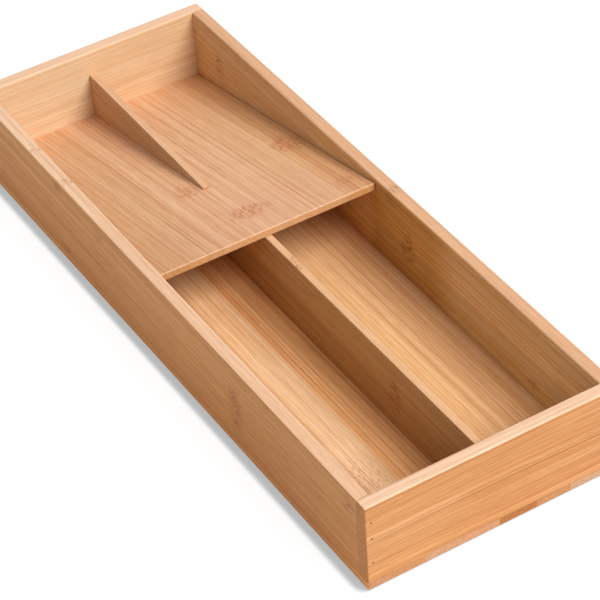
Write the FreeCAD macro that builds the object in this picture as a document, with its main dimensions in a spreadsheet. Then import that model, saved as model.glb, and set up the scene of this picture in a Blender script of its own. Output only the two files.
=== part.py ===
import FreeCAD, Part
import os
import Sketcher
from FreeCAD import Placement, Rotation, Vector

# Two-tier bamboo cutlery tray, a box of glued and nailed boards that stands in a kitchen drawer.
# A sloped shelf makes the upper tier at the back, and the front half is one level lower.
# Lengths are in millimetres. The origin is the middle of the underside, +Z is up,
# -Y is the front panel and +Y the rear panel.

SIZES = [
    ("tray_length", 394.0, "outside length, front panel to rear panel"),
    ("tray_width", 142.0, "outside width"),
    ("tray_height", 52.5, "outside height"),
    ("side_thickness", 7.0, "long side boards"),
    ("end_thickness", 7.2, "front and rear panels"),
    ("base_thickness", 5.0, "base board, full size, under all four walls"),
    ("shelf_thickness", 4.0, "sloped shelf"),
    ("shelf_run", 188.0, "level distance from the rear panel to the shelf's front edge"),
    ("shelf_front_drop", 2.7, "shelf's front edge, below the rim"),
    ("shelf_rear_gap", 1.3, "under the shelf's rear edge, above the base board"),
    ("shelf_side_gap", 0.4, "between the shelf and each side board"),
    ("divider_thickness", 4.0, "lower divider"),
    ("divider_offset", -0.8, "lower divider's middle, from the tray's middle"),
    ("divider_rear_gap", 22.0, "from the lower divider's rear end to the rear panel"),
    ("wedge_thickness", 4.0, "shelf divider"),
    ("wedge_offset", -1.4, "shelf divider's middle, from the tray's middle"),
    ("wedge_top_drop", 14.5, "shelf divider's level top, below the rim"),
    ("wedge_tip_height", 1.2, "blunt front tip of the shelf divider"),
    ("rim_arris", 0.9, "rounding of the walls' top edges"),
    ("corner_round", 1.0, "rounding of the upright outer corners"),
    ("foot_round", 1.2, "rounding of the base board's lower edges"),
    ("thin_arris", 0.5, "rounding of the shelf's and dividers' free edges"),
    ("brad_diameter", 0.8, "nail shank"),
    ("brad_head", 1.1, "nail head's diameter"),
    ("brad_head_height", 0.5, "nail head's thickness"),
    ("brad_point", 1.2, "length of the nail's tapered point"),
    ("brad_tip", 0.2, "diameter of the point's blunt end"),
    ("brad_sink", 0.5, "nail head below the wood's surface"),
    ("brad_fit", 0.05, "clearance round a nail and under its head"),
    ("brad_room", 0.1, "clearance past a nail's point"),
    ("wall_brad_length", 20.0, "nails through the front and rear panels"),
    ("base_brad_length", 18.0, "nails up through the base board"),
    ("shelf_brad_length", 13.0, "nails down through the shelf"),
    ("wall_brad_edge", 3.2, "wall nails, from the tray's outer side face"),
    ("wall_brad_drop_high", 10.4, "top wall nail, below the rim"),
    ("wall_brad_drop_middle", 20.5, "middle wall nail, below the rim"),
    ("wall_brad_drop_low", 35.7, "bottom wall nail, below the rim"),
    ("side_brad_inset", 34.0, "first and last base nail along a side, from the tray's end"),
    ("side_brad_count", 5, "base nails along each side"),
    ("end_brad_spread", 72.0, "between the two base nails of each end panel"),
    ("divider_brad_inset", 42.0, "first base nail of the lower divider, from the tray's front"),
    ("divider_brad_pitch", 82.0, "between the lower divider's base nails"),
    ("divider_brad_count", 3, "base nails of the lower divider"),
    ("shelf_brad_tip_gap", 12.0, "front shelf nail, behind the shelf divider's tip"),
    ("shelf_brad_pitch", 29.0, "between the shelf nails, all hidden by the shelf divider"),
    ("shelf_brad_count", 2, "shelf nails"),
    ("wedge_brad_rise", 8.0, "lower nail of the shelf divider, above the shelf's rear edge"),
    ("wedge_brad_drop", 7.0, "upper nail of the shelf divider, below its top"),
]

doc = FreeCAD.newDocument("cutlery_tray")
sizes = doc.addObject("Spreadsheet::Sheet", "sizes")
for row, (alias, size, meaning) in enumerate(SIZES, start=1):
    sizes.set(f"A{row}", alias)
    sizes.set(f"B{row}", str(size))
    sizes.set(f"C{row}", meaning)
    sizes.setAlias(f"B{row}", alias)
doc.recompute()


def number(expression):
    """The value of an expression on the sheet."""
    result = sizes.evalExpression(expression)
    return float(getattr(result, "Value", result))


# Places worked out from the sheet, written as expressions so that they follow a changed size.
HALF_LENGTH = "(sizes.tray_length / 2)"
HALF_WIDTH = "(sizes.tray_width / 2)"
WALL_HEIGHT = "(sizes.tray_height - sizes.base_thickness)"
INNER_LENGTH = "(sizes.tray_length - 2 * sizes.end_thickness)"
INNER_REAR = f"({HALF_LENGTH} - sizes.end_thickness)"
INNER_FRONT = f"(-{INNER_REAR})"

# The shelf's top passes through its front edge, and its underside clears the base at the rear.
SHELF_FRONT_Z = "(sizes.tray_height - sizes.shelf_front_drop)"
SHELF_FRONT_Y = f"({INNER_REAR} - sizes.shelf_run)"
FALL = f"({SHELF_FRONT_Z} - sizes.base_thickness - sizes.shelf_rear_gap)"
DIAGONAL = f"sqrt(sizes.shelf_run^2 + {FALL}^2 - sizes.shelf_thickness^2)"
SLOPE = (
    f"(({FALL} * sizes.shelf_run - sizes.shelf_thickness * {DIAGONAL})"
    " / (sizes.shelf_run^2 - sizes.shelf_thickness^2))"
)
STRETCH = f"sqrt(1 + {SLOPE}^2)"
SHELF_REAR_Z = f"({SHELF_FRONT_Z} - {SLOPE} * sizes.shelf_run)"
UNDER_FRONT_Y = f"({SHELF_FRONT_Y} - sizes.shelf_thickness * {SLOPE} / {STRETCH})"
UNDER_FRONT_Z = f"({SHELF_FRONT_Z} - sizes.shelf_thickness / {STRETCH})"
UNDER_REAR_Z = "(sizes.base_thickness + sizes.shelf_rear_gap)"

WEDGE_TOP_Z = "(sizes.tray_height - sizes.wedge_top_drop)"
WEDGE_RUN = f"(({WEDGE_TOP_Z} - sizes.wedge_tip_height - {SHELF_REAR_Z}) / {SLOPE})"

SHELF_BRAD_X = "((sizes.divider_offset + sizes.wedge_offset) / 2)"
BRAD_RADIUS = "(sizes.brad_diameter / 2)"
HEAD_RADIUS = "(sizes.brad_head / 2)"
BORE_RADIUS = f"({BRAD_RADIUS} + sizes.brad_fit)"
HEAD_BORE_RADIUS = f"({HEAD_RADIUS} + sizes.brad_fit)"
HEAD_BORE_DEPTH = "(sizes.brad_sink + sizes.brad_head_height + sizes.brad_fit)"
PAST_POINT = "(sizes.brad_sink + sizes.brad_room)"

WALL_BRAD_HEIGHTS = [
    "(sizes.tray_height - sizes.wall_brad_drop_high)",
    "(sizes.tray_height - sizes.wall_brad_drop_middle)",
    "(sizes.tray_height - sizes.wall_brad_drop_low)",
]
WEDGE_BRAD_HEIGHTS = [
    f"({SHELF_REAR_Z} + sizes.wedge_brad_rise)",
    f"({WEDGE_TOP_Z} - sizes.wedge_brad_drop)",
]
SIDE_BRAD_PITCH = "((sizes.tray_length - 2 * sizes.side_brad_inset) / (sizes.side_brad_count - 1))"
SIDE_BRAD_Y = [
    f"(-{HALF_LENGTH} + sizes.side_brad_inset + {step} * {SIDE_BRAD_PITCH})"
    for step in range(int(number("sizes.side_brad_count")))
]
END_BRAD_X = ["(-sizes.end_brad_spread / 2)", "(sizes.end_brad_spread / 2)"]
DIVIDER_BRAD_Y = [
    f"(-{HALF_LENGTH} + sizes.divider_brad_inset + {step} * sizes.divider_brad_pitch)"
    for step in range(int(number("sizes.divider_brad_count")))
]
SHELF_BRAD_Y = [
    f"({INNER_REAR} - {WEDGE_RUN} + sizes.shelf_brad_tip_gap + {step} * sizes.shelf_brad_pitch)"
    for step in range(int(number("sizes.shelf_brad_count")))
]

UP = Vector(0, 0, 1)
DOWN = Vector(0, 0, -1)
BACKWARD = Vector(0, 1, 0)
FORWARD = Vector(0, -1, 0)
NEAR = 0.001


def new_body(name, x, y, z, turned=False):
    """A board's body, with its own corner at x, y, z. Turned, it faces the other way round."""
    body = doc.addObject("PartDesign::Body", name)
    body.Label = name
    if turned:
        body.Placement = Placement(Vector(), Rotation(UP, 180))
    for axis, expression in zip("xyz", (x, y, z)):
        body.setExpression(f"Placement.Base.{axis}", expression)
    return body


def new_sketch(body, name, plane, lift=None):
    """A sketch on one of the body's own planes, lifted along that plane's normal."""
    sketch = body.newObject("Sketcher::SketchObject", name)
    support = [o for o in body.Origin.OriginFeatures if o.Role == plane][0]
    sketch.AttachmentSupport = (support, [""])
    sketch.MapMode = "FlatFace"
    if lift is not None:
        sketch.setExpression("AttachmentOffset.Base.z", lift)
    return sketch


def hold_point(sketch, geometry, vertex, label, x, y):
    """Holds a point of the sketch at x, y from its origin, by named distances."""
    for axis, kind, zero_line, expression in (("x", "DistanceX", -2, x), ("y", "DistanceY", -1, y)):
        if expression == "0":
            sketch.addConstraint(Sketcher.Constraint("PointOnObject", geometry, vertex, zero_line))
            continue
        distance = Sketcher.Constraint(kind, -1, 1, geometry, vertex, number(expression))
        index = sketch.addConstraint(distance)
        sketch.renameConstraint(index, f"{label}_{axis}")
        sketch.setExpression(f"Constraints.{label}_{axis}", expression)


def pad_outline(body, name, plane, corners, depth):
    """A board cut to a closed outline of straight edges and as thick as depth."""
    sketch = new_sketch(body, f"{name}_outline", plane)
    points = [Vector(number(x), number(y), 0) for x, y in corners]
    for start, end in zip(points, points[1:] + points[:1]):
        sketch.addGeometry(Part.LineSegment(start, end), False)
    for edge in range(len(points)):
        after = (edge + 1) % len(points)
        sketch.addConstraint(Sketcher.Constraint("Coincident", edge, 2, after, 1))
    for edge, (x, y) in enumerate(corners):
        hold_point(sketch, edge, 1, f"corner{edge}", x, y)
    pad = body.newObject("PartDesign::Pad", f"{name}_board")
    pad.Profile = sketch
    pad.setExpression("Length", depth)
    doc.recompute()
    return pad


def bore(body, name, plane, centres, radius, depth, lift=None, along_normal=False):
    """Round holes that go into the board from one of its planes, as deep as depth."""
    before = body.Shape.Volume
    sketch = new_sketch(body, f"{name}_circles", plane, lift)
    for index, (x, y) in enumerate(centres):
        centre = Vector(number(x), number(y), 0)
        sketch.addGeometry(Part.Circle(centre, UP, number(radius)), False)
        hold_point(sketch, index, 3, f"centre{index}", x, y)
        size = sketch.addConstraint(Sketcher.Constraint("Radius", index, number(radius)))
        sketch.renameConstraint(size, f"radius{index}")
        sketch.setExpression(f"Constraints.radius{index}", radius)
    pocket = body.newObject("PartDesign::Pocket", f"{name}_holes")
    pocket.Profile = sketch
    pocket.Reversed = along_normal
    pocket.setExpression("Length", depth)
    doc.recompute()
    if body.Shape.Volume > before - NEAR:
        raise RuntimeError(f"{name} cut nothing")
    return pocket


def ease(body, name, chosen, radius):
    """Rounds the edges that chosen picks, by where their two ends lie."""
    board = body.Tip
    edges = []
    for index, edge in enumerate(board.Shape.Edges, start=1):
        ends = [vertex.Point for vertex in edge.Vertexes]
        if len(ends) == 2 and chosen(*ends):
            edges.append(f"Edge{index}")
    if not edges:
        raise RuntimeError(f"{name} found no edge")
    fillet = body.newObject("PartDesign::Fillet", f"{name}_round")
    fillet.Base = (board, edges)
    fillet.setExpression("Radius", radius)
    doc.recompute()
    return fillet


def level_at(height):
    """Picks the edges that lie level at a height."""
    return lambda a, b: abs(a.z - height) < NEAR and abs(b.z - height) < NEAR


def lengthwise_at(height):
    """Picks the edges that run along the tray at a height."""
    level = level_at(height)
    return lambda a, b: level(a, b) and abs(a.x - b.x) < NEAR


def upright_at(places):
    """Picks the upright edges that stand at one of the places."""
    def chosen(a, b):
        standing = abs(a.x - b.x) < NEAR and abs(a.y - b.y) < NEAR
        return standing and any(abs(a.x - x) < NEAR and abs(a.y - y) < NEAR for x, y in places)
    return chosen


def brad(name, length, x, y, z, direction):
    """One nail. Its head's flat is at x, y, z, and it is driven along direction."""
    head = doc.addObject("Part::Cylinder", f"{name}_head")
    head.setExpression("Radius", HEAD_RADIUS)
    head.setExpression("Height", "sizes.brad_head_height")
    shank = doc.addObject("Part::Cylinder", f"{name}_shank")
    shank.setExpression("Radius", BRAD_RADIUS)
    shank.setExpression("Height", f"{length} - sizes.brad_point")
    point = doc.addObject("Part::Cone", f"{name}_point")
    point.setExpression("Radius1", BRAD_RADIUS)
    point.setExpression("Radius2", "sizes.brad_tip / 2")
    point.setExpression("Height", "sizes.brad_point")
    point.setExpression("Placement.Base.z", f"{length} - sizes.brad_point")
    nail = doc.addObject("Part::MultiFuse", name)
    nail.Shapes = [head, shank, point]
    nail.Placement = Placement(Vector(), Rotation(UP, direction))
    for axis, expression in zip("xyz", (x, y, z)):
        nail.setExpression(f"Placement.Base.{axis}", expression)
    return nail


def brads(name, length, places, direction):
    """A group of like nails, each a solid of its own."""
    group = doc.addObject("Part::Compound", name)
    group.Label = name
    group.Links = [
        brad(f"{name}_{index}", length, x, y, z, direction)
        for index, (x, y, z) in enumerate(places, start=1)
    ]
    return group


def base_board():
    """The full-size base, with the nail holes of everything that stands on it."""
    body = new_body("base_board", f"-{HALF_WIDTH}", f"-{HALF_LENGTH}", "0")
    corners = [
        ("0", "0"),
        ("sizes.tray_width", "0"),
        ("sizes.tray_width", "sizes.tray_length"),
        ("0", "sizes.tray_length"),
    ]
    pad_outline(body, "base", "XY_Plane", corners, "sizes.base_thickness")
    centres = [
        (f"{HALF_WIDTH} + {x}", f"{HALF_LENGTH} + {y}")
        for places in BASE_BRAD_PLACES.values() for x, y in places
    ]
    bore(body, "base_shank", "XY_Plane", centres, BORE_RADIUS, "sizes.base_thickness", None, True)
    bore(body, "base_head", "XY_Plane", centres, HEAD_BORE_RADIUS, HEAD_BORE_DEPTH, None, True)
    width = number("sizes.tray_width")
    length = number("sizes.tray_length")
    outer = [(0, 0), (width, 0), (width, length), (0, length)]
    ease(body, "base_corner", upright_at(outer), "sizes.corner_round")
    ease(body, "base_foot", level_at(0), "sizes.foot_round")
    return body


def side_board(name, turned):
    """A long side. Both are alike, and the right one is the left one turned round."""
    sign = "" if turned else "-"
    body = new_body(name, f"{sign}{HALF_WIDTH}", f"{sign}{INNER_REAR}", "sizes.base_thickness", turned)
    corners = [
        ("0", "0"),
        ("sizes.side_thickness", "0"),
        ("sizes.side_thickness", INNER_LENGTH),
        ("0", INNER_LENGTH),
    ]
    pad_outline(body, name, "XY_Plane", corners, WALL_HEIGHT)
    heights = [f"{height} - sizes.base_thickness" for height in WALL_BRAD_HEIGHTS]
    centres = [("sizes.wall_brad_edge", height) for height in heights]
    depth = f"sizes.wall_brad_length - sizes.end_thickness + {PAST_POINT}"
    bore(body, f"{name}_front", "XZ_Plane", centres, BORE_RADIUS, depth)
    bore(body, f"{name}_rear", "XZ_Plane", centres, BORE_RADIUS, depth, f"-{INNER_LENGTH}", True)
    centres = [("sizes.side_thickness / 2", f"{INNER_REAR} + {y}") for y in SIDE_BRAD_Y]
    depth = f"sizes.base_brad_length - sizes.base_thickness + {PAST_POINT}"
    bore(body, f"{name}_foot", "XY_Plane", centres, BORE_RADIUS, depth, None, True)
    ease(body, f"{name}_rim", lengthwise_at(number(WALL_HEIGHT)), "sizes.rim_arris")
    return body


def end_panel(name, turned, extra_bores):
    """A front or rear panel, which covers the ends of both side boards."""
    sign = "" if turned else "-"
    body = new_body(name, f"{sign}{HALF_WIDTH}", f"{sign}{HALF_LENGTH}", "sizes.base_thickness", turned)
    corners = [
        ("0", "0"),
        ("sizes.tray_width", "0"),
        ("sizes.tray_width", "sizes.end_thickness"),
        ("0", "sizes.end_thickness"),
    ]
    pad_outline(body, name, "XY_Plane", corners, WALL_HEIGHT)
    ends = ["sizes.wall_brad_edge", "sizes.tray_width - sizes.wall_brad_edge"]
    centres = [(x, height) for x in ends for height in WALL_BRAD_HEIGHTS] + extra_bores
    centres = [(x, f"{height} - sizes.base_thickness") for x, height in centres]
    bore(body, f"{name}_shank", "XZ_Plane", centres, BORE_RADIUS, "sizes.end_thickness")
    bore(body, f"{name}_head", "XZ_Plane", centres, HEAD_BORE_RADIUS, HEAD_BORE_DEPTH)
    centres = [(f"{HALF_WIDTH} + {x}", "sizes.end_thickness / 2") for x in END_BRAD_X]
    depth = f"sizes.base_brad_length - sizes.base_thickness + {PAST_POINT}"
    bore(body, f"{name}_foot", "XY_Plane", centres, BORE_RADIUS, depth, None, True)
    width = number("sizes.tray_width")
    ease(body, f"{name}_corner", upright_at([(0, 0), (width, 0)]), "sizes.corner_round")
    ease(body, f"{name}_rim", level_at(number(WALL_HEIGHT)), "sizes.rim_arris")
    return body


def lower_divider():
    """The upright board that parts the lower tier and carries the shelf on its sloped top."""
    left = "sizes.divider_offset - sizes.divider_thickness / 2"
    body = new_body("lower_divider", left, INNER_FRONT, "sizes.base_thickness")
    end_y = f"({INNER_LENGTH} - sizes.divider_rear_gap)"
    end_height = f"(sizes.shelf_rear_gap + {SLOPE} * sizes.divider_rear_gap)"
    bend_y = f"({UNDER_FRONT_Y} - {INNER_FRONT})"
    top = f"({UNDER_FRONT_Z} - sizes.base_thickness)"
    corners = [("0", "0"), (end_y, "0"), (end_y, end_height), (bend_y, top), ("0", top)]
    pad_outline(body, "divider", "YZ_Plane", corners, "sizes.divider_thickness")
    middle = "sizes.divider_thickness / 2"
    centres = [(middle, f"{y} - {INNER_FRONT}") for y in DIVIDER_BRAD_Y]
    depth = f"sizes.base_brad_length - sizes.base_thickness + {PAST_POINT}"
    bore(body, "divider_foot", "XY_Plane", centres, BORE_RADIUS, depth, None, True)
    for index, y in enumerate(SHELF_BRAD_Y, start=1):
        tip = f"({shelf_top_at(y)} - sizes.base_thickness - sizes.shelf_brad_length - {PAST_POINT})"
        centre = (f"{SHELF_BRAD_X} - ({left})", f"{y} - {INNER_FRONT}")
        depth = f"{top} - {tip}"
        bore(body, f"divider_top{index}", "XY_Plane", [centre], BORE_RADIUS, depth, top)
    ease(body, "divider_top", lengthwise_at(number(top)), "sizes.thin_arris")
    return body


def shelf_top_at(y):
    """The height of the shelf's top at a distance y from the tray's middle."""
    return f"({SHELF_REAR_Z} + {SLOPE} * ({INNER_REAR} - ({y})))"


def sloped_shelf():
    """The upper tier's floor, planed upright at the rear and square at the front."""
    left = f"(-{HALF_WIDTH} + sizes.side_thickness + sizes.shelf_side_gap)"
    body = new_body("sloped_shelf", left, UNDER_FRONT_Y, "0")
    rear = f"({INNER_REAR} - {UNDER_FRONT_Y})"
    corners = [
        ("0", UNDER_FRONT_Z),
        (rear, UNDER_REAR_Z),
        (rear, SHELF_REAR_Z),
        (f"({SHELF_FRONT_Y} - {UNDER_FRONT_Y})", SHELF_FRONT_Z),
    ]
    pad_outline(body, "shelf", "YZ_Plane", corners, f"(-2 * {left})")
    x = f"{SHELF_BRAD_X} - {left}"
    for index, y in enumerate(SHELF_BRAD_Y, start=1):
        lift = shelf_top_at(y)
        centre = (x, f"{y} - {UNDER_FRONT_Y}")
        slack = f"{HEAD_BORE_RADIUS} * {SLOPE}"
        through = f"sizes.shelf_thickness * {STRETCH} + 2 * {slack}"
        raised = f"{lift} + {slack}"
        bore(body, f"shelf_shank{index}", "XY_Plane", [centre], BORE_RADIUS, through, raised)
        sunk = f"{HEAD_BORE_DEPTH} + {slack}"
        bore(body, f"shelf_head{index}", "XY_Plane", [centre], HEAD_BORE_RADIUS, sunk, raised)
    ease(body, "shelf_front", level_at(number(SHELF_FRONT_Z)), "sizes.thin_arris")
    ease(body, "shelf_under", level_at(number(UNDER_FRONT_Z)), "sizes.thin_arris")
    return body


def shelf_divider():
    """The wedge that parts the upper tier. Its top is level and runs out at the shelf."""
    left = "sizes.wedge_offset - sizes.wedge_thickness / 2"
    body = new_body("shelf_divider", left, f"({INNER_REAR} - {WEDGE_RUN})", SHELF_REAR_Z)
    rise = f"({SLOPE} * {WEDGE_RUN})"
    top = f"({WEDGE_TOP_Z} - {SHELF_REAR_Z})"
    corners = [("0", rise), (WEDGE_RUN, "0"), (WEDGE_RUN, top), ("0", top)]
    pad_outline(body, "wedge", "YZ_Plane", corners, "sizes.wedge_thickness")
    centres = [("sizes.wedge_thickness / 2", f"{z} - {SHELF_REAR_Z}") for z in WEDGE_BRAD_HEIGHTS]
    depth = f"sizes.wall_brad_length - sizes.end_thickness + {PAST_POINT}"
    bore(body, "wedge_rear", "XZ_Plane", centres, BORE_RADIUS, depth, f"-{WEDGE_RUN}", True)
    ease(body, "wedge_top", lengthwise_at(number(top)), "sizes.thin_arris")
    return body


LEFT_BRAD_X = f"(-{HALF_WIDTH} + sizes.side_thickness / 2)"
RIGHT_BRAD_X = f"({HALF_WIDTH} - sizes.side_thickness / 2)"
FRONT_BRAD_Y = f"(-{HALF_LENGTH} + sizes.end_thickness / 2)"
REAR_BRAD_Y = f"({HALF_LENGTH} - sizes.end_thickness / 2)"
BASE_BRAD_PLACES = {
    "base_left_brads": [(LEFT_BRAD_X, y) for y in SIDE_BRAD_Y],
    "base_right_brads": [(RIGHT_BRAD_X, y) for y in SIDE_BRAD_Y],
    "base_front_brads": [(x, FRONT_BRAD_Y) for x in END_BRAD_X],
    "base_rear_brads": [(x, REAR_BRAD_Y) for x in END_BRAD_X],
    "divider_brads": [("sizes.divider_offset", y) for y in DIVIDER_BRAD_Y],
}


def all_brads():
    """Every nail, grouped by the joint that it holds."""
    groups = []
    for name, places in BASE_BRAD_PLACES.items():
        stands = [(x, y, "sizes.brad_sink") for x, y in places]
        groups.append(brads(name, "sizes.base_brad_length", stands, UP))
    front = f"(-{HALF_LENGTH} + sizes.brad_sink)"
    rear = f"({HALF_LENGTH} - sizes.brad_sink)"
    left = f"(-{HALF_WIDTH} + sizes.wall_brad_edge)"
    right = f"({HALF_WIDTH} - sizes.wall_brad_edge)"
    for end, y, direction in (("front", front, BACKWARD), ("rear", rear, FORWARD)):
        for side, x in (("left", left), ("right", right)):
            places = [(x, y, z) for z in WALL_BRAD_HEIGHTS]
            groups.append(brads(f"{end}_{side}_brads", "sizes.wall_brad_length", places, direction))
    places = [("sizes.wedge_offset", rear, z) for z in WEDGE_BRAD_HEIGHTS]
    groups.append(brads("shelf_divider_brads", "sizes.wall_brad_length", places, FORWARD))
    places = [(SHELF_BRAD_X, y, f"{shelf_top_at(y)} - sizes.brad_sink") for y in SHELF_BRAD_Y]
    groups.append(brads("shelf_brads", "sizes.shelf_brad_length", places, DOWN))
    return groups


wedge_bores = [(f"{HALF_WIDTH} - sizes.wedge_offset", z) for z in WEDGE_BRAD_HEIGHTS]
boards = [
    base_board(),
    side_board("left_side", False),
    side_board("right_side", True),
    end_panel("front_panel", False, []),
    end_panel("rear_panel", True, wedge_bores),
    lower_divider(),
    sloped_shelf(),
    shelf_divider(),
]
pieces = boards + all_brads()
doc.recompute()

for item in doc.Objects:
    if "Invalid" in item.State or "Error" in item.State:
        raise RuntimeError(f"{item.Label} failed: {item.State}")
for piece in pieces:
    if piece.Shape.isNull() or not piece.Shape.isValid():
        raise RuntimeError(f"{piece.Label} has no valid shape")
for board in boards:
    if len(board.Shape.Solids) != 1:
        raise RuntimeError(f"{board.Label} is not one solid")

os.makedirs("parts", exist_ok=True)
for piece in pieces:
    piece.Shape.exportStep(f"parts/{piece.Label}.step")
    box = piece.Shape.BoundBox
    print(
        f"{piece.Label:20s} solids {len(piece.Shape.Solids):2d}  volume {piece.Shape.Volume:10.1f}"
        f"  x {box.XMin:7.2f} {box.XMax:7.2f}  y {box.YMin:8.2f} {box.YMax:8.2f}"
        f"  z {box.ZMin:6.2f} {box.ZMax:6.2f}"
    )
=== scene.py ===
"""Two-tier bamboo cutlery tray: the finish of its boards and nails, the floor, the light and the camera."""

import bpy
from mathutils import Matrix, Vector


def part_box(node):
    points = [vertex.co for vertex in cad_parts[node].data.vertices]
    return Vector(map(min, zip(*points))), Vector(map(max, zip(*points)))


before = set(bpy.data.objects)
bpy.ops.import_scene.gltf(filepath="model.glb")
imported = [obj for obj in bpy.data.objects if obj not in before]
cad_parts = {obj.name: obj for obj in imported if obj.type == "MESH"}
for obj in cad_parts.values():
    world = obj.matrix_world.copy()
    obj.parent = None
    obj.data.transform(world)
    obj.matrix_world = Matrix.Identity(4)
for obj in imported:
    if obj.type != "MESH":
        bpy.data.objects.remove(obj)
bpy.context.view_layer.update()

from math import radians

import bpy
from mathutils import Quaternion, Vector

MM = 0.001

# Camera: places in metres, roll in degrees, sensor and lens in millimetres
CAMERA_PLACE = (-0.49957, -0.92319, 0.88723)
CAMERA_AIM = (-0.0030, -0.03044, 0.02625)
CAMERA_ROLL = -4.198
SENSOR_WIDTH = 36.0
LENS = 159.67

# Light: the key lamp stands in front and to the right, high up, and the room fills the shade
KEY_DIRECTION = (0.28, -0.62, 0.78)
KEY_DISTANCE = 5.0
KEY_SIZE = 3.2
KEY_POWER = 303.0
KEY_COLOUR = (1.0, 0.985, 0.965)
FILL_LEVEL = 0.42
FILL_COLOUR = (1.0, 1.0, 1.0)

# Floor, in metres: it glows evenly for the eye, with a painted shadow where the tray stands within the
# contact's reach on the side that it leans to, over a faint real shadow
FLOOR_SIZE = 8.0
FLOOR_DROP = 0.0002
FLOOR_GLOW = 0.92
FLOOR_ROUGHNESS = 0.9
FLOOR_COLOUR = (0.80, 0.80, 0.80, 1.0)
FLOOR_SEEN_COLOUR = (0.12, 0.12, 0.12, 1.0)
OPEN_COLOUR = (1.0, 1.0, 1.0, 1.0)
# grey of the painted contact shadow on the floor
CONTACT_SHADOW_COLOUR = (0.465, 0.485, 0.49, 1.0)
CONTACT_REACH = 0.007
CONTACT_LEAN = (0.85, -0.45, 0.45)
CONTACT_SAMPLES = 16
CONTACT_EDGE = (0.56, 0.86)

# Places on the tray, in millimetres from its middle or its underside. WALL_FACE and PANEL_FACE are the
# inner faces of the side boards and the end panels
BASE_TOP = 5.0
RIM = 52.5
HALF_WIDTH = 71.0
HALF_LENGTH = 197.0
WALL_FACE = 64.0
PANEL_FACE = 189.8

# Upper shelf: its slope, rising towards the front, how far its upper front edge lies behind the lower
# one, and half its width, in millimetres
SHELF_SLOPE = radians(11.84)
SHELF_LEAN = 0.8
SHELF_HALF_WIDTH = 63.6

# Colours, as written in a paint chart (0 to 255)
HONEY = (226, 183, 144)
APRICOT = (230, 187, 150)
STAIN = (186, 120, 78)
DASH = (160, 92, 52)
DARK_DASH = (142, 88, 52)
LINE_TONE = (214, 186, 156)
THREAD_TONE = (206, 170, 134)
HAIR_TONE = (224, 200, 176)
GLUE_LINE = (168, 98, 50)
# dark colour of the joint lines, and painted shade inside the nail holes
JOINT_LINE_AND_HOLE_SHADE = (104, 66, 38)
# pale colour of worn edges, which also serves as a painted highlight along the rounded arrises
CREAM_WEAR_AND_HIGHLIGHT = (255, 232, 202)
STEEL = (150, 98, 62)
STEEL_SPOT = (104, 64, 40)

# Marks of the grain: length, width and depth in millimetres, detail and roughness of the noise, and
# the values of the noise where a mark starts and is full
GRAIN_MARKS = {
    "Streaks": ((420.0, 3.6, 3.6), 2.0, 0.6, (0.36, 0.66)),
    "Lines": ((230.0, 0.8, 0.8), 2.0, 0.6, (0.40, 0.62)),
    "Threads": ((300.0, 1.1, 1.1), 1.0, 0.5, (0.58, 0.68)),
    "Hairs": ((14.0, 0.42, 0.42), 1.0, 0.5, (0.40, 0.62)),
}

# The sway of the fibres, the step between the grain of two strips, the bundles that show as dots on end
# cuts, and the share of grain that an end cut or a calm rim loses
SWAY_SIZE = (130.0, 40.0, 40.0)
STRIP_SHIFT = 410.0
BUNDLE_SIZE = (24.0, 1.25, 1.25)
BUNDLE_EDGE = (0.34, 0.12)
BUNDLE_SHARE = 0.10
BUNDLE_END_SHARE = 0.16
GRAIN_LOSS = 0.35

# Knuckles of the cane: a frayed stain, and the dashes that cross it
FRAY_SIZE = (7.0, 1.6, 1.6)
FRAY_REACH = 14.0
STAIN_EDGE = (1.05, 0.45)
JOG_SIZE = (40.0, 2.2, 2.2)
JOG_REACH = 16.0
DASH_SIZE = (3.4, 0.85, 0.85)
DASH_EDGE = (0.52, 0.61)
DASH_SHARE = 0.85

# Worn edges with a painted highlight, nail holes with painted shade, glue lines and joints: sizes in
# millimetres, and shares of their colour
WORN_AND_HIGHLIGHT_WIDTH = 1.0
RUB_SIZE = (22.0, 3.0, 3.0)
RUB_DEPTH = 1.2
RUB_START = -0.5
FAR_OUT = 30.0
HOLE_DEPTH = (0.02, 0.06)
HOLE_INSET = (1.2, 1.5)
HOLE_SHADE_SHARE = 0.4
GLUE_WIDTH = 0.35
GLUE_SHARE = 0.3
JOINT_WIDTH = 0.4
JOINT_SHARE = 0.35

# How squarely a face looks along an axis where its mask starts and is full
SIDE_FACING = (0.5, 0.8)
END_FACING = (0.55, 0.9)
JOINT_FACING = (0.6, 0.3)

# Sheen and relief of the bamboo, the relief in shares of its depth in millimetres
BAMBOO_ROUGHNESS = 0.48
LINE_ROUGHNESS = 0.10
STAIN_ROUGHNESS = 0.08
BAMBOO_SPECULAR = 0.2
RELIEF_STRENGTH = 0.22
RELIEF_DEPTH = 0.05
LINE_RELIEF = -1.0
HAIR_RELIEF = -0.5
THREAD_RELIEF = -0.8

# Steel of the nails, with spots sized in millimetres
SPOT_SIZE = (0.5, 0.5, 0.5)
SPOT_EDGE = (0.42, 0.62)
STEEL_ROUGHNESS = 0.65
SPOT_ROUGHNESS = 0.15
STEEL_METALLIC = 0.2
STEEL_SPECULAR = 0.15


def paint(colour):
    """An sRGB colour from 0 to 255 as the linear colour that a shader takes."""
    parts = [value / 255 for value in colour]
    linear = [part / 12.92 if part <= 0.04045 else ((part + 0.055) / 1.055) ** 2.4 for part in parts]
    return (*linear, 1.0)


def add_node(tree, kind, **settings):
    node = tree.nodes.new(kind)
    for name, value in settings.items():
        setattr(node, name, value)
    return node


def feed(tree, socket, value):
    """Gives a socket a fixed value, or links it to another node's socket."""
    if isinstance(value, bpy.types.NodeSocket):
        tree.links.new(value, socket)
    else:
        socket.default_value = value


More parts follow.
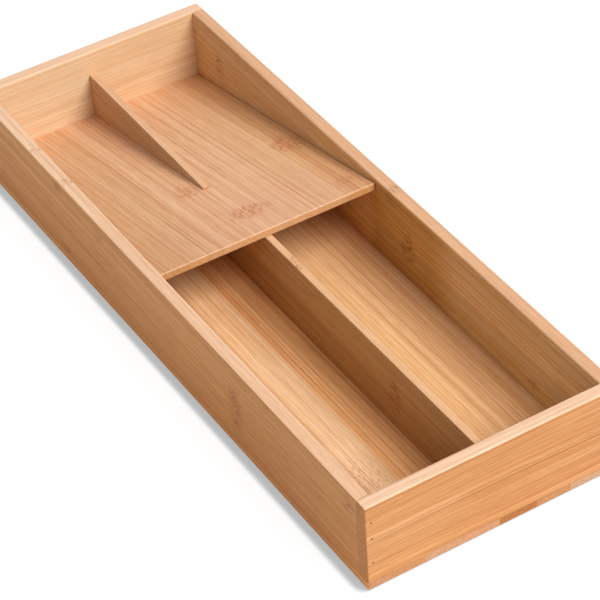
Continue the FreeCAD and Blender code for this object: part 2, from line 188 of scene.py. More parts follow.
def work_out(tree, operation, *values):
    node = add_node(tree, "ShaderNodeMath", operation=operation)
    for socket, value in zip(node.inputs, values):
        feed(tree, socket, value)
    return node.outputs[0]


def work_out_vector(tree, operation, *values):
    node = add_node(tree, "ShaderNodeVectorMath", operation=operation)
    for socket, value in zip(node.inputs, values):
        feed(tree, socket, value)
    return node.outputs["Value" if operation == "LENGTH" else "Vector"]


def share_of(tree, mask, amount):
    return work_out(tree, "MULTIPLY", mask, amount)


def largest(tree, values):
    result = values[0]
    for value in values[1:]:
        result = work_out(tree, "MAXIMUM", result, value)
    return result


def middle_of(tree, x, y, z):
    """The middle one of three numbers."""
    lesser = work_out(tree, "MINIMUM", x, y)
    greater = work_out(tree, "MAXIMUM", x, y)
    return work_out(tree, "MAXIMUM", lesser, work_out(tree, "MINIMUM", greater, z))


def ease_between(tree, value, start, stop):
    """0 up to start, 1 from stop on, and a smooth rise between them."""
    node = add_node(tree, "ShaderNodeMapRange", interpolation_type="SMOOTHSTEP")
    feed(tree, node.inputs["Value"], value)
    feed(tree, node.inputs["From Min"], start)
    feed(tree, node.inputs["From Max"], stop)
    return node.outputs["Result"]


def split(tree, vector):
    node = add_node(tree, "ShaderNodeSeparateXYZ")
    feed(tree, node.inputs[0], vector)
    return node.outputs[0], node.outputs[1], node.outputs[2]


def join(tree, x, y, z):
    node = add_node(tree, "ShaderNodeCombineXYZ")
    for socket, value in zip(node.inputs, (x, y, z)):
        feed(tree, socket, value)
    return node.outputs[0]


def shrink(tree, place, size):
    """The place in units of a mark's length, width and depth."""
    return work_out_vector(tree, "MULTIPLY", place, [1 / length for length in size])


def noise(tree, place, size, detail=2.0, roughness=0.5):
    """Soft noise whose grains are as long, wide and deep as size says, in millimetres."""
    node = add_node(tree, "ShaderNodeTexNoise")
    feed(tree, node.inputs["Vector"], shrink(tree, place, size))
    node.inputs["Scale"].default_value = 1.0
    node.inputs["Detail"].default_value = detail
    node.inputs["Roughness"].default_value = roughness
    return node.outputs["Fac"]


def mix(tree, amount, first, second, way="MIX"):
    node = add_node(tree, "ShaderNodeMix", data_type="RGBA", blend_type=way)
    feed(tree, node.inputs[0], amount)
    feed(tree, node.inputs[6], first)
    feed(tree, node.inputs[7], second)
    return node.outputs[2]


def toned(tree, colour, tone, amount):
    """The colour multiplied by a tone, where and as much as amount says."""
    return mix(tree, amount, colour, paint(tone), way="MULTIPLY")


def new_group(name, inputs, outputs):
    """An empty node group, its entry sockets and its exit sockets, which all give numbers."""
    kinds = {"number": "NodeSocketFloat", "vector": "NodeSocketVector"}
    tree = bpy.data.node_groups.new(name, "ShaderNodeTree")
    for label, kind in inputs.items():
        tree.interface.new_socket(label, in_out="INPUT", socket_type=kinds[kind])
    for label in outputs:
        tree.interface.new_socket(label, in_out="OUTPUT", socket_type=kinds["number"])
    return tree, tree.nodes.new("NodeGroupInput").outputs, tree.nodes.new("NodeGroupOutput").inputs


def use_group(tree, group, **values):
    node = add_node(tree, "ShaderNodeGroup", node_tree=group)
    for label, value in values.items():
        feed(tree, node.inputs[label], value)
    return node.outputs


def make_fibre_group():
    """Bamboo fibre seen on any cut: long on the faces, dots on the ends. Place is along, across, deep."""
    inputs = {"Place": "vector", "Shift": "number", "Bow": "number"}
    tree, entry, leave = new_group("bamboo fibres", inputs, [*GRAIN_MARKS, "Bundles"])
    slide = work_out(tree, "MULTIPLY", entry["Shift"], STRIP_SHIFT)
    moved = work_out_vector(tree, "ADD", entry["Place"], join(tree, slide, 0.0, slide))
    sway = work_out(tree, "SUBTRACT", noise(tree, moved, SWAY_SIZE, detail=1.0), 0.5)
    bowed = work_out(tree, "MULTIPLY", sway, entry["Bow"])
    bent = work_out_vector(tree, "ADD", moved, join(tree, 0.0, bowed, 0.0))
    for label, (size, detail, roughness, edge) in GRAIN_MARKS.items():
        spread = noise(tree, bent, size, detail, roughness)
        feed(tree, leave[label], ease_between(tree, spread, *edge))
    pores = add_node(tree, "ShaderNodeTexVoronoi", feature="F1")
    feed(tree, pores.inputs["Vector"], shrink(tree, bent, BUNDLE_SIZE))
    pores.inputs["Scale"].default_value = 1.0
    feed(tree, leave["Bundles"], ease_between(tree, pores.outputs["Distance"], *BUNDLE_EDGE))
    return tree


def make_knuckle_group():
    """One knuckle of the cane: a stained patch crossed by short broken dashes."""
    inputs = {"Place": "vector", "Middle": "vector", "Reach": "vector", "Strength": "number"}
    tree, entry, leave = new_group("bamboo knuckle", inputs, ["Stain", "Dashes"])
    offset = work_out_vector(tree, "SUBTRACT", entry["Place"], entry["Middle"])
    ragged = work_out(tree, "SUBTRACT", noise(tree, entry["Place"], FRAY_SIZE), 0.5)
    fray = join(tree, work_out(tree, "MULTIPLY", ragged, FRAY_REACH), 0.0, 0.0)
    frayed = work_out_vector(tree, "ADD", offset, fray)
    share = work_out_vector(tree, "LENGTH", work_out_vector(tree, "DIVIDE", frayed, entry["Reach"]))
    stain = work_out(tree, "MULTIPLY", ease_between(tree, share, *STAIN_EDGE), entry["Strength"])
    feed(tree, leave["Stain"], stain)
    jog = work_out(tree, "MULTIPLY", noise(tree, entry["Place"], JOG_SIZE, detail=0.0), JOG_REACH)
    jogged = work_out_vector(tree, "ADD", entry["Place"], join(tree, jog, 0.0, 0.0))
    dashes = ease_between(tree, noise(tree, jogged, DASH_SIZE, detail=1.0), *DASH_EDGE)
    feed(tree, leave["Dashes"], work_out(tree, "MULTIPLY", dashes, stain))
    return tree


def depths(tree, point, low, high):
    """How far inside a box, given by its corners, a point lies along each axis from the nearer face."""
    above = work_out_vector(tree, "SUBTRACT", point, low)
    below = work_out_vector(tree, "SUBTRACT", high, point)
    return split(tree, work_out_vector(tree, "MINIMUM", above, below))


def make_worn_and_highlight_edge_group():
    """How near a point is to an edge of its board, rubbed unevenly: the mask of edges that are worn and
    carry a painted highlight.
    """
    inputs = {"Place": "vector", "Low": "vector", "High": "vector", "Width": "number"}
    tree, entry, leave = new_group("worn and highlighted edge", inputs, ["Mask"])
    second = middle_of(tree, *depths(tree, entry["Place"], entry["Low"], entry["High"]))
    rub = work_out(tree, "MULTIPLY_ADD", noise(tree, entry["Place"], RUB_SIZE), RUB_DEPTH, RUB_START)
    uneven = work_out(tree, "ADD", second, rub)
    feed(tree, leave["Mask"], ease_between(tree, uneven, entry["Width"], 0.0))
    return tree


def make_hole_shade_group():
    """Where painted shade goes in the holes sunk into a board: their walls, inside its faces, and away from
    its rounded edges.
    """
    inputs = {"Point": "vector", "Low": "vector", "High": "vector"}
    tree, entry, leave = new_group("painted hole shade", inputs, ["Mask"])
    x, y, z = depths(tree, entry["Point"], entry["Low"], entry["High"])
    least = work_out(tree, "MINIMUM", work_out(tree, "MINIMUM", x, y), z)
    inside = ease_between(tree, least, *HOLE_DEPTH)
    inset = ease_between(tree, middle_of(tree, x, y, z), *HOLE_INSET)
    feed(tree, leave["Mask"], work_out(tree, "MULTIPLY", inside, inset))
    return tree


def make_seam_group():
    """A thin line where two pieces meet, at one place on one axis."""
    inputs = {"Value": "number", "Seam": "number", "Width": "number"}
    tree, entry, leave = new_group("seam line", inputs, ["Mask"])
    gap = work_out(tree, "ABSOLUTE", work_out(tree, "SUBTRACT", entry["Value"], entry["Seam"]))
    feed(tree, leave["Mask"], ease_between(tree, gap, entry["Width"], 0.0))
    return tree


FIBRES = make_fibre_group()
KNUCKLE = make_knuckle_group()
WORN_AND_HIGHLIGHT_EDGE = make_worn_and_highlight_edge_group()
# HOLE marks where painted shade goes inside the nail holes
HOLE = make_hole_shade_group()
SEAM = make_seam_group()


def new_material(name):
    """A material, its node tree and its shader."""
    material = bpy.data.materials.new(name)
    material.use_nodes = True
    tree = material.node_tree
    return material, tree, tree.nodes["Principled BSDF"]


def board_place(tree, order, turn):
    """Where a point lies in millimetres, as along, across and deep and by axis, and its normal by axis."""
    coordinates = add_node(tree, "ShaderNodeTexCoord")
    mapping = add_node(tree, "ShaderNodeMapping", vector_type="POINT")
    feed(tree, mapping.inputs["Vector"], coordinates.outputs["Object"])
    mapping.inputs["Rotation"].default_value = (turn, 0.0, 0.0)
    mapping.inputs["Scale"].default_value = (1 / MM, 1 / MM, 1 / MM)
    axes = dict(zip("XYZ", split(tree, mapping.outputs["Vector"])))
    place = join(tree, *[axes[axis] for axis in order])
    normal = dict(zip("XYZ", split(tree, coordinates.outputs["Normal"])))
    return place, axes, normal


def strip_ramp(tree, across, strips, stop):
    """Gives each glued strip its own tint, and in alpha its own share of shift along the cane."""
    start = strips[0][0]
    ramp = add_node(tree, "ShaderNodeValToRGB")
    ramp.color_ramp.interpolation = "CONSTANT"
    share = work_out(tree, "DIVIDE", work_out(tree, "SUBTRACT", across, start), stop - start)
    feed(tree, ramp.inputs["Fac"], share)
    stops = ramp.color_ramp.elements
    stops.remove(stops[1])
    for index, (edge, colour, shift) in enumerate(strips):
        mark = stops[0] if index == 0 else stops.new((edge - start) / (stop - start))
        mark.color = (*paint(colour)[:3], shift)
    return ramp.outputs["Color"], ramp.outputs["Alpha"]


def side_mask(tree, normal, side):
    """1 on the faces of one side, such as -X, or of both sides of an axis, such as X."""
    if side[0] in "+-":
        facing = share_of(tree, normal[side[1]], 1.0 if side[0] == "+" else -1.0)
    else:
        facing = work_out(tree, "ABSOLUTE", normal[side])
    return ease_between(tree, facing, *SIDE_FACING)


def stretch(tree, value, reach):
    """1 between the two middle numbers of reach, easing to 0 at its outer numbers."""
    start, full, last, stop = reach
    rise = ease_between(tree, value, start, full)
    return share_of(tree, rise, ease_between(tree, value, stop, last))


def draw_grain(tree, board, colour, fibres, facing, end_cut):
    """The colour with fibres drawn over it, fainter on end cuts and on a calm rim."""
    calm = ease_between(tree, facing["Z"], *SIDE_FACING) if board["calm_rim"] else 0.0
    clear = work_out(tree, "MULTIPLY_ADD", largest(tree, [calm, end_cut]), -GRAIN_LOSS, 1.0)
    tones = [board["dark"], LINE_TONE, THREAD_TONE, HAIR_TONE]
    for label, tone, share in zip(GRAIN_MARKS, tones, board["grain"]):
        colour = toned(tree, colour, tone, share_of(tree, share_of(tree, fibres[label], share), clear))
    bundle_share = work_out(tree, "MULTIPLY_ADD", end_cut, BUNDLE_END_SHARE, BUNDLE_SHARE)
    return mix(tree, share_of(tree, fibres["Bundles"], bundle_share), colour, paint(STAIN))


def tone_and_light_sides(tree, board, colour, normal, along, across):
    """The colour with the tone of each side, and of the stretches of a side that drift from it: partly the
    cane's own colour, partly painted light and shade.
    """
    for side, tone in board["tones"].items():
        colour = toned(tree, colour, tone, side_mask(tree, normal, side))
    for side, tone, *reaches in board["drifts_light_and_shade"]:
        share = side_mask(tree, normal, side)
        for value, reach in zip((along, across), reaches):
            share = share_of(tree, share, stretch(tree, value, reach))
        colour = toned(tree, colour, tone, share)
    return colour


def draw_knuckles(tree, board, colour, place):
    """The colour with the knuckles of the cane, and the mask of their stain."""
    marks = [
        use_group(tree, KNUCKLE, Place=place, Middle=middle, Reach=reach, Strength=strength)
        for middle, reach, strength in board["knuckles"]
    ]
    stain = largest(tree, [mark["Stain"] for mark in marks])
    dashes = largest(tree, [mark["Dashes"] for mark in marks])
    colour = mix(tree, share_of(tree, stain, board["stain"]), colour, paint(STAIN))
    return mix(tree, share_of(tree, dashes, DASH_SHARE), colour, paint(board["dash"])), stain


def draw_glue_lines(tree, board, colour, across):
    """The colour with a line wherever two strips are glued together."""
    lines = [
        use_group(tree, SEAM, Value=across, Seam=edge, Width=GLUE_WIDTH)["Mask"]
        for edge, _, _ in board["strips"][1:]
    ]
    if lines:
        colour = mix(tree, share_of(tree, largest(tree, lines), GLUE_SHARE), colour, paint(GLUE_LINE))
    return colour


def wear_and_highlight_edges(tree, node, board, colour, place):
    """The colour rubbed paler along the board's open edges: partly worn, partly a painted highlight on the
    rounded arrises.
    """
    low, high = open_corners(node, board)
    worn = use_group(tree, WORN_AND_HIGHLIGHT_EDGE, Place=place, Low=low, High=high, Width=WORN_AND_HIGHLIGHT_WIDTH)["Mask"]
    return mix(tree, share_of(tree, worn, board["wear_and_highlight"]), colour, paint(CREAM_WEAR_AND_HIGHLIGHT))


def shade_holes(tree, node, colour, axes):
    """The colour darkened inside the nail holes of a board: painted shade in the recesses."""
    low, high = [tuple(corner / MM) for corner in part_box(node)]
    holes = use_group(tree, HOLE, Point=join(tree, *axes.values()), Low=low, High=high)["Mask"]
    return mix(tree, share_of(tree, holes, HOLE_SHADE_SHARE), colour, paint(JOINT_LINE_AND_HOLE_SHADE))


def shade_joints(tree, board, colour, axes, facing):
    """The colour darkened in thin lines where the board meets other pieces."""
    lines = []
    for axis, seam in board["joints"]:
        line = use_group(tree, SEAM, Value=axes[axis], Seam=seam, Width=JOINT_WIDTH)["Mask"]
        lines.append(share_of(tree, line, ease_between(tree, facing[axis], *JOINT_FACING)))
    if lines:
        colour = mix(tree, share_of(tree, largest(tree, lines), JOINT_SHARE), colour, paint(JOINT_LINE_AND_HOLE_SHADE))
    return colour


def fibre_relief(tree, fibres):
    """The normal of a face whose fibres are sunk a little."""
    height = work_out(tree, "MULTIPLY", fibres["Lines"], LINE_RELIEF)
    height = work_out(tree, "MULTIPLY_ADD", fibres["Hairs"], HAIR_RELIEF, height)
    height = work_out(tree, "MULTIPLY_ADD", fibres["Threads"], THREAD_RELIEF, height)
    bump = add_node(tree, "ShaderNodeBump")
    bump.inputs["Strength"].default_value = RELIEF_STRENGTH
    bump.inputs["Distance"].default_value = RELIEF_DEPTH * MM
    feed(tree, bump.inputs["Height"], height)
    return bump.outputs["Normal"]


def bamboo(node, board):
    """The finish of one bamboo board."""
    material, tree, shader = new_material(node + " bamboo")
    place, axes, normal = board_place(tree, board["order"], board["turn"])
    facing = {axis: work_out(tree, "ABSOLUTE", normal[axis]) for axis in "XYZ"}
    along, across = [axes[axis] for axis in board["order"][:2]]
    end_cut = ease_between(tree, facing[board["order"][0]], *END_FACING)

    colour, shift = strip_ramp(tree, across, board["strips"], board["stop"])
    if "end_strips" in board:
        end_colour, _ = strip_ramp(tree, across, board["end_strips"], board["stop"])
        colour = mix(tree, end_cut, colour, end_colour)
    fibres = use_group(tree, FIBRES, Place=place, Shift=shift, Bow=board["bow"])
    colour = draw_grain(tree, board, colour, fibres, facing, end_cut)
    colour = tone_and_light_sides(tree, board, colour, normal, along, across)
    colour, stain = draw_knuckles(tree, board, colour, place)
    colour = draw_glue_lines(tree, board, colour, across)
    colour = wear_and_highlight_edges(tree, node, board, colour, place)
    if board["bored"]:
        colour = shade_holes(tree, node, colour, axes)
    colour = shade_joints(tree, board, colour, axes, facing)

    feed(tree, shader.inputs["Base Color"], colour)
    rough = work_out(tree, "MULTIPLY_ADD", fibres["Lines"], LINE_ROUGHNESS, BAMBOO_ROUGHNESS)
    feed(tree, shader.inputs["Roughness"], work_out(tree, "MULTIPLY_ADD", stain, STAIN_ROUGHNESS, rough))
    feed(tree, shader.inputs["Normal"], fibre_relief(tree, fibres))
    shader.inputs["Specular IOR Level"].default_value = BAMBOO_SPECULAR
    return material


def turned(point):
    """A point of the tray in the sloped shelf's own frame: along, across, deep."""
    x, y, z = Quaternion((1, 0, 0), SHELF_SLOPE) @ Vector(point)
    return (y, x, z)


def open_corners(node, board):
    """A board's corners along, across and deep, moved far out on the hidden sides, which get no worn or
    highlighted edge.
    """
    low, high = [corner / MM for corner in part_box(node)]
    order = board["order"]
    if board["turn"]:
        front = turned((low.x, low.y + SHELF_LEAN, high.z))
        rear = turned((high.x, high.y, low.z))
        corners = [[front[0], low.x, rear[2]], [rear[0], high.x, front[2]]]
    else:
        corners = [[corner["XYZ".index(axis)] for axis in order] for corner in (low, high)]
    for sign, axis in board["hidden"]:
        upper = sign == "+"
        corners[upper][order.index(axis)] += FAR_OUT if upper else -FAR_OUT
    return tuple(corners[0]), tuple(corners[1])


# Orders of the axes along, across and deep in a side board, an end panel and a flat board
SIDE_ORDER = "YZX"
PANEL_ORDER = "XZY"
FLAT_ORDER = "YXZ"

# Ends of a drift that runs on past the tray, in millimetres
FROM_FRONT = (-250.0, -200.0)
TO_REAR = (200.0, 250.0)
FROM_LEFT = (-90.0, -80.0)
TO_RIGHT = (80.0, 90.0)
FROM_FOOT = (-2.0, -1.0)
TO_RIM = (60.0, 61.0)

# What a board's entry says, with places and sizes in millimetres and colours and tones from 0 to 255:
# order, turn: the axes that run along, across and deep, and the slope of the board
# strips, stop: for each glued strip the place across where it starts, its colour and its share of shift
#     along the cane, and where the last one stops; end_strips: the same on the end cuts
# dark, grain: the tone of the streaks, and the shares of streaks, lines, threads and hairs
# bow: how far the fibres sway
# tones: a tone for the faces of a side, such as -X, or of both sides, such as X; partly the cane's own
# colour, partly painted light and shade
# drifts_light_and_shade: a side, a tone, and its stretch along and, if that is limited too, across; the four
# numbers
#     are where it starts, is full, is last full and stops; a tone above 255 lightens; some are painted light
#     or shade
# knuckles, stain, dash: the middle, reach and strength of each knuckle of the cane, the share of its
#     stain, and the colour of its dashes
# wear_and_highlight, hidden: the share of the edges that are worn and carry a painted highlight, and the
# sides that don't have them
# joints: the axis and place of each line where the board meets another piece
# bored, calm_rim: whether its nail holes get painted shade, and whether its grain is fainter on top
PLAIN_BOARD = {
    "turn": 0.0,
    "bow": 1.5,
    "drifts_light_and_shade": [],
    "stain": 0.14,
    "dash": DASH,
    "wear_and_highlight": 0.15,
    "joints": [],
    "bored": False,
    "calm_rim": True,
}

BOARDS = {
    "base_board": {
        "order": FLAT_ORDER,
        "strips": [
            (-HALF_WIDTH, (255, 214, 168), 0.10), (-64.0, (238, 203, 166), 0.10),
            (-39.5, (238, 203, 163), 0.81), (-22.6, (239, 187, 132), 0.27), (2.0, (234, 192, 142), 0.64),
            (23.0, (237, 195, 146), 0.93), (42.5, (236, 191, 142), 0.36),
        ],
        "end_strips": [
            (-HALF_WIDTH, (202, 151, 105), 0.10), (-61.0, (206, 150, 99), 0.43),
            (-39.5, (211, 164, 121), 0.81), (-20.5, (213, 162, 116), 0.27), (2.0, (184, 121, 61), 0.64),
            (23.0, (203, 147, 96), 0.93), (42.5, (208, 167, 127), 0.36),
        ],
        "stop": HALF_WIDTH,
        "dark": (236, 203, 166),
        "grain": (0.28, 0.46, 0.46, 0.35),
        "tones": {"-X": (247, 214, 164), "+X": (246, 216, 178), "Y": (244, 243, 251), "Z": (253, 252, 251)},
        "drifts_light_and_shade": [
            # painted light: the floor is lightened next to the left wall and towards the front
            ("+Z", (258, 266, 274), (-190.0, -170.0, -125.0, -70.0), (-46.0, -41.0, -38.5, -35.0)),
            ("+Z", (262, 266, 276), (*FROM_FRONT, -128.0, -100.0), (-50.0, -42.0, -31.5, -28.5)),
            ("+Z", (246, 237, 231), (*FROM_FRONT, 60.0, 80.0), (-22.0, -21.0, -18.5, -17.5)),
            # painted light: the floor is lightened beside the divider, where its shade falls
            ("+Z", (275, 282, 279), (-45.0, -18.0, 60.0, 80.0), (-10.5, -7.5, -4.0, -2.0)),
            ("+Z", (255, 249, 238), (-45.0, -12.0, 60.0, 80.0), (-66.0, -64.0, -26.0, -22.0)),
            ("-X", (252, 250, 257), (*FROM_FRONT, -110.0, -50.0)),
            ("-X", (254, 249, 241), (10.0, 60.0, *TO_REAR)),
        ],
        "stain": 0.1,
        "dash": (186, 122, 78),
        "knuckles": [
            ((-137.0, -33.0, BASE_TOP), (20.0, 14.0, 3.0), 0.55),
            ((-92.0, 40.0, 0.0), (8.0, 10.0, 3.0), 0.9),
            ((44.0, -26.0, 0.0), (8.0, 10.0, 3.0), 0.9),
        ],
        "hidden": ["+Z"],
        "joints": [("Z", BASE_TOP)],
        "bored": True,
        "calm_rim": False,
    },
    "left_side": {
        "order": SIDE_ORDER,
        "strips": [
            (BASE_TOP, (218, 178, 127), 0.15), (12.5, (219, 184, 141), 0.57), (34.5, (223, 192, 155), 0.88),
        ],
        "stop": RIM,
        "dark": (236, 212, 184),
        "grain": (0.22, 0.4, 0.35, 0.45),
        # the -X tone is painted shade: the outer face is warmer and darker as it lies in shade
        "tones": {"-X": (255, 214, 158), "Z": (260, 254, 264)},
        "drifts_light_and_shade": [
            ("Z", (251, 247, 243), (*FROM_FRONT, -125.0, -60.0)),
            ("Z", (257, 259, 261), (20.0, 80.0, *TO_REAR)),
            ("-X", (252, 252, 254), (*FROM_FRONT, -110.0, -50.0)),
            ("-X", (253, 251, 245), (10.0, 60.0, *TO_REAR)),
        ],
        "stain": 0.3,
        "dash": DARK_DASH,
        "knuckles": [
            ((-81.0, 26.5, -HALF_WIDTH), (8.0, 17.0, 3.0), 0.75),
            ((-182.2, 44.5, -HALF_WIDTH), (6.0, 8.0, 3.0), 0.6),
            ((97.0, 48.5, -HALF_WIDTH), (5.5, 4.5, 3.0), 0.6),
            ((97.0, 8.5, -HALF_WIDTH), (5.5, 4.0, 3.0), 0.55),
            ((55.2, 43.0, -HALF_WIDTH), (5.0, 7.0, 3.0), 0.4),
            ((93.8, RIM, -67.5), (3.0, 3.0, 6.0), 0.5),
            ((127.2, RIM, -67.5), (3.0, 3.0, 6.0), 0.35),
        ],
        "hidden": ["-Z", "-Y", "+Y"],
        "joints": [("Z", BASE_TOP)],
    },
    "right_side": {
        "order": SIDE_ORDER,
        "strips": [
            (BASE_TOP, (236, 196, 136), 0.31), (16.5, (238, 203, 154), 0.74), (40.5, (238, 204, 158), 0.05),
        ],
        "stop": RIM,
        "dark": (236, 212, 184),
        "grain": (0.4, 0.4, 0.35, 0.4),
        "tones": {"+X": (246, 222, 214), "-X": (248, 244, 232), "Z": (228, 211, 215)},
        "drifts_light_and_shade": [
            # painted light: the inner face is lightened towards the front
            ("-X", (275, 280, 285), (*FROM_FRONT, -78.0, -45.0)),
            ("-X", (237, 247, 261), (*FROM_FRONT, 0.0, 12.0), (*FROM_FOOT, 21.0, 33.0)),
            # painted light: lighter still near the front end
            ("-X", (270, 273, 273), (*FROM_FRONT, -160.0, -110.0)),
            # painted shade: darker and warmer near the shelf's front edge
            ("-X", (246, 230, 190), (-75.0, -45.0, 0.0, 12.0)),
            ("-X", (250, 252, 264), (50.0, 80.0, *TO_REAR)),
        ],
        "dash": DARK_DASH,
        "knuckles": [
            ((-11.3, 47.5, WALL_FACE), (4.0, 5.0, 3.0), 0.8),
            ((-27.0, 26.0, WALL_FACE), (8.0, 13.0, 3.0), 1.0),
            ((162.4, 31.7, WALL_FACE), (6.0, 9.0, 3.0), 0.9),
            ((-137.9, 12.5, WALL_FACE), (5.5, 4.0, 3.0), 0.7),
            ((-11.2, RIM, 67.5), (4.5, 3.0, 6.0), 0.6),
            ((118.0, 28.0, HALF_WIDTH), (8.0, 11.0, 3.0), 0.9),
            ((-70.0, 46.0, HALF_WIDTH), (7.0, 7.0, 3.0), 0.7),
        ],
        "hidden": ["-Z", "-Y", "+Y"],
        "joints": [("Z", BASE_TOP)],
    },
    "front_panel": {
        "order": PANEL_ORDER,
        "strips": [(BASE_TOP, (246, 214, 183), 0.22)],
        "stop": RIM,
        "dark": (230, 200, 168),
        "grain": (0.32, 0.5, 0.5, 0.35),
        "bow": 7.0,
        # the -X end is darker than the +X end as painted shade
        "tones": {"-X": (208, 164, 108), "+X": (222, 184, 142), "Y": (216, 183, 143), "Z": (241, 237, 238)},
        "drifts_light_and_shade": [
            ("-Y", (258, 262, 263), (*FROM_LEFT, -45.0, -10.0)),
            ("-Y", (248, 242, 236), (*FROM_LEFT, 20.0, 40.0), (42.5, 45.0, *TO_RIM)),
            ("-Y", (259, 261, 262), (*FROM_LEFT, *TO_RIGHT), (33.0, 36.0, 42.0, 44.0)),
            ("-Y", (262, 267, 278), (*FROM_LEFT, -28.0, -10.0), (23.5, 27.0, 32.0, 35.5)),
            ("-Y", (261, 261, 260), (*FROM_LEFT, *TO_RIGHT), (*FROM_FOOT, 12.5, 15.0)),
        ],
        "knuckles": [((-1.0, 21.0, -HALF_LENGTH), (14.0, 9.0, 2.0), 0.15)],
        # the front's top arris is paler still: worn, and a painted highlight
        "wear_and_highlight": 0.35,
        "hidden": ["-Z", "+Y", "-X", "+X"],
        "joints": [("Z", BASE_TOP), ("Y", -PANEL_FACE)],
        "bored": True,
    },
    "rear_panel": {
        "order": PANEL_ORDER,
        "strips": [(BASE_TOP, (229, 201, 166), 0.68)],
        "stop": RIM,
        "dark": (238, 214, 186),
        "grain": (0.3, 0.22, 0.18, 0.25),
        "bow": 3.0,
        # the -X end and the +Y face, which lie in shade, are toned darker and warmer as painted shade
        "tones": {"-X": (216, 176, 128), "+X": (236, 206, 170), "+Y": (250, 226, 200), "Z": (256, 246, 253)},
        "drifts_light_and_shade": [("-Y", (253, 248, 243), (-8.0, 8.0, *TO_RIGHT))],
        "knuckles": [((22.0, 30.0, HALF_LENGTH), (10.0, 9.0, 2.0), 0.3)],
        "hidden": ["-Z", "-Y"],
        "joints": [("Z", BASE_TOP), ("Y", PANEL_FACE)],
        "bored": True,
    },
    "lower_divider": {
        "order": SIDE_ORDER,
        "strips": [(BASE_TOP, (208, 163, 120), 0.49), (26.0, (228, 181, 139), 0.12)],
        "stop": 46.0,
        "dark": (232, 206, 176),
        "grain": (0.35, 0.4, 0.35, 0.4),
        "tones": {"X": (226, 230, 206), "Z": (245, 247, 248)},
        "drifts_light_and_shade": [("-X", (265, 265, 266), (*FROM_FRONT, -40.0, 0.0), (38.5, 41.5, *TO_RIM))],
        "dash": DARK_DASH,
        "knuckles": [
            ((-116.7, 24.5, -2.8), (7.0, 14.0, 3.0), 1.0),
            ((-24.6, 45.9, -0.8), (6.5, 3.0, 4.0), 0.9),
            ((66.0, 16.0, 1.2), (6.0, 9.0, 3.0), 0.8),
        ],
        "hidden": ["-Z", "-Y", "+Y"],
    },
    "sloped_shelf": {
        "order": FLAT_ORDER,
        "turn": SHELF_SLOPE,
        "strips": [
            (-SHELF_HALF_WIDTH, (216, 170, 128), 0.35), (-47.0, (223, 180, 140), 0.91),
            (-27.0, APRICOT, 0.13), (-7.0, (230, 188, 152), 0.66), (13.0, APRICOT, 0.29),
            (30.0, HONEY, 0.84), (47.0, (220, 173, 128), 0.51),
        ],
        "stop": SHELF_HALF_WIDTH,
        "dark": (234, 206, 176),
        "grain": (0.3, 0.38, 0.38, 0.35),
        "tones": {"Y": (226, 213, 191)},
        "drifts_light_and_shade": [("+Z", (252, 249, 251), (-40.0, -30.0, 20.0, 50.0))],
        "stain": 0.22,
        "dash": (176, 105, 64),
        "knuckles": [
            (turned((-11.5, 68.0, 35.9)), (9.0, 8.0, 3.0), 0.8),
            (turned((2.5, 25.5, 44.9)), (8.5, 14.0, 3.0), 1.0),
            (turned((55.0, 75.0, 34.4)), (13.0, 11.0, 3.0), 1.0),
            (turned((53.0, 15.6, 46.9)), (6.0, 9.0, 3.0), 0.6),
        ],
        "wear_and_highlight": 0.2,
        "hidden": ["-X", "+X", "+Y", "-Z"],
        "calm_rim": False,
    },
    "shelf_divider": {
        "order": SIDE_ORDER,
        "strips": [(10.0, APRICOT, 0.77)],
        "stop": 38.0,
        "dark": (232, 206, 176),
        "grain": (0.3, 0.4, 0.3, 0.4),
        "tones": {"X": (228, 236, 234), "Y": (218, 202, 188), "Z": (242, 239, 235)},
        "knuckles": [((112.0, 30.0, 0.6), (6.0, 6.0, 3.0), 0.7)],
        "hidden": ["-Z", "+Y"],
    },
}


def finish_boards():
    for node, board in BOARDS.items():
        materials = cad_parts[node].data.materials
        materials.clear()
        materials.append(bamboo(node, {**PLAIN_BOARD, **board}))


def nail_steel():
    """Dull steel of the nails, a little darker in spots."""
    material, tree, shader = new_material("nail steel")
    coordinates = add_node(tree, "ShaderNodeTexCoord")
    place = work_out_vector(tree, "MULTIPLY", coordinates.outputs["Object"], (1 / MM, 1 / MM, 1 / MM))
    spots = ease_between(tree, noise(tree, place, SPOT_SIZE), *SPOT_EDGE)
    feed(tree, shader.inputs["Base Color"], mix(tree, spots, paint(STEEL), paint(STEEL_SPOT)))
    rough = work_out(tree, "MULTIPLY_ADD", spots, SPOT_ROUGHNESS, STEEL_ROUGHNESS)
    feed(tree, shader.inputs["Roughness"], rough)
    shader.inputs["Metallic"].default_value = STEEL_METALLIC
    shader.inputs["Specular IOR Level"].default_value = STEEL_SPECULAR
    return material


def finish_nails():
    steel = nail_steel()
    for name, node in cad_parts.items():
        if name.endswith("brads"):
            node.data.materials.clear()
            node.data.materials.append(steel)


def seen_ray(tree):
    """1 for rays that the eye, a reflection or glass sees, 0 for light on other surfaces."""
    path = add_node(tree, "ShaderNodeLightPath").outputs
    return largest(tree, [path["Is Camera Ray"], path["Is Glossy Ray"], path["Is Transmission Ray"]])


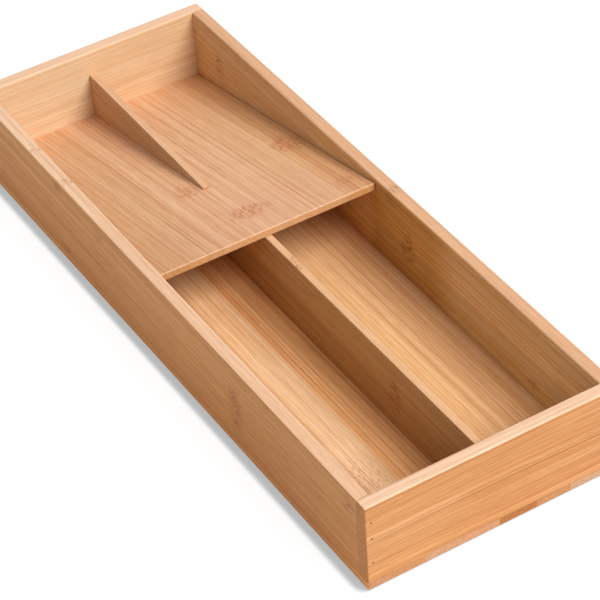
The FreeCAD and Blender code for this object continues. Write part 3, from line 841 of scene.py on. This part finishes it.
def floor_finish():
    """A pale floor that the eye sees evenly lit, with a painted soft shadow where the tray touches it, over
    a faint real one.
    """
    material, tree, shader = new_material("pale floor")
    seen = seen_ray(tree)
    feed(tree, shader.inputs["Base Color"], mix(tree, seen, FLOOR_COLOUR, FLOOR_SEEN_COLOUR))
    shader.inputs["Roughness"].default_value = FLOOR_ROUGHNESS
    shader.inputs["Specular IOR Level"].default_value = 0.0
    contact = add_node(tree, "ShaderNodeAmbientOcclusion", samples=CONTACT_SAMPLES)
    contact.inputs["Distance"].default_value = CONTACT_REACH
    feed(tree, contact.inputs["Normal"], join(tree, *Vector(CONTACT_LEAN).normalized()))
    open_share = ease_between(tree, contact.outputs["AO"], *CONTACT_EDGE)
    feed(tree, shader.inputs["Emission Color"], mix(tree, open_share, CONTACT_SHADOW_COLOUR, OPEN_COLOUR))
    feed(tree, shader.inputs["Emission Strength"], work_out(tree, "MULTIPLY", seen, FLOOR_GLOW))
    return material


def lay_floor():
    bpy.ops.object.select_all(action="DESELECT")
    bpy.ops.mesh.primitive_plane_add(size=FLOOR_SIZE, location=(0, 0, -FLOOR_DROP))
    floor = bpy.context.object
    floor.name = "studio_floor"
    floor.data.materials.append(floor_finish())


def fill_room():
    """An even white room, whose light on the tray is weaker than it looks."""
    world = bpy.data.worlds.new("studio")
    bpy.context.scene.world = world
    world.use_nodes = True
    tree = world.node_tree
    background = tree.nodes["Background"]
    background.inputs["Color"].default_value = (*FILL_COLOUR, 1.0)
    level = work_out(tree, "MULTIPLY_ADD", seen_ray(tree), 1.0 - FILL_LEVEL, FILL_LEVEL)
    feed(tree, background.inputs["Strength"], level)


def hang_key_lamp():
    direction = Vector(KEY_DIRECTION).normalized()
    bpy.ops.object.light_add(type="AREA", location=direction * KEY_DISTANCE)
    key = bpy.context.object
    key.name = "key_lamp"
    key.rotation_euler = direction.to_track_quat("Z", "Y").to_euler()
    key.data.shape = "DISK"
    key.data.size = KEY_SIZE
    key.data.energy = KEY_POWER
    key.data.color = KEY_COLOUR


def place_camera():
    bpy.ops.object.camera_add(location=CAMERA_PLACE)
    camera = bpy.context.object
    camera.name = "camera"
    look = Vector(CAMERA_AIM) - Vector(CAMERA_PLACE)
    roll = Quaternion((0, 0, 1), radians(CAMERA_ROLL))
    camera.rotation_mode = "QUATERNION"
    camera.rotation_quaternion = look.to_track_quat("-Z", "Y") @ roll
    camera.data.sensor_width = SENSOR_WIDTH
    camera.data.lens = LENS
    bpy.context.scene.camera = camera


bpy.context.scene.view_settings.view_transform = "Standard"
place_camera()
finish_boards()
finish_nails()
lay_floor()
fill_room()
hang_key_lamp()
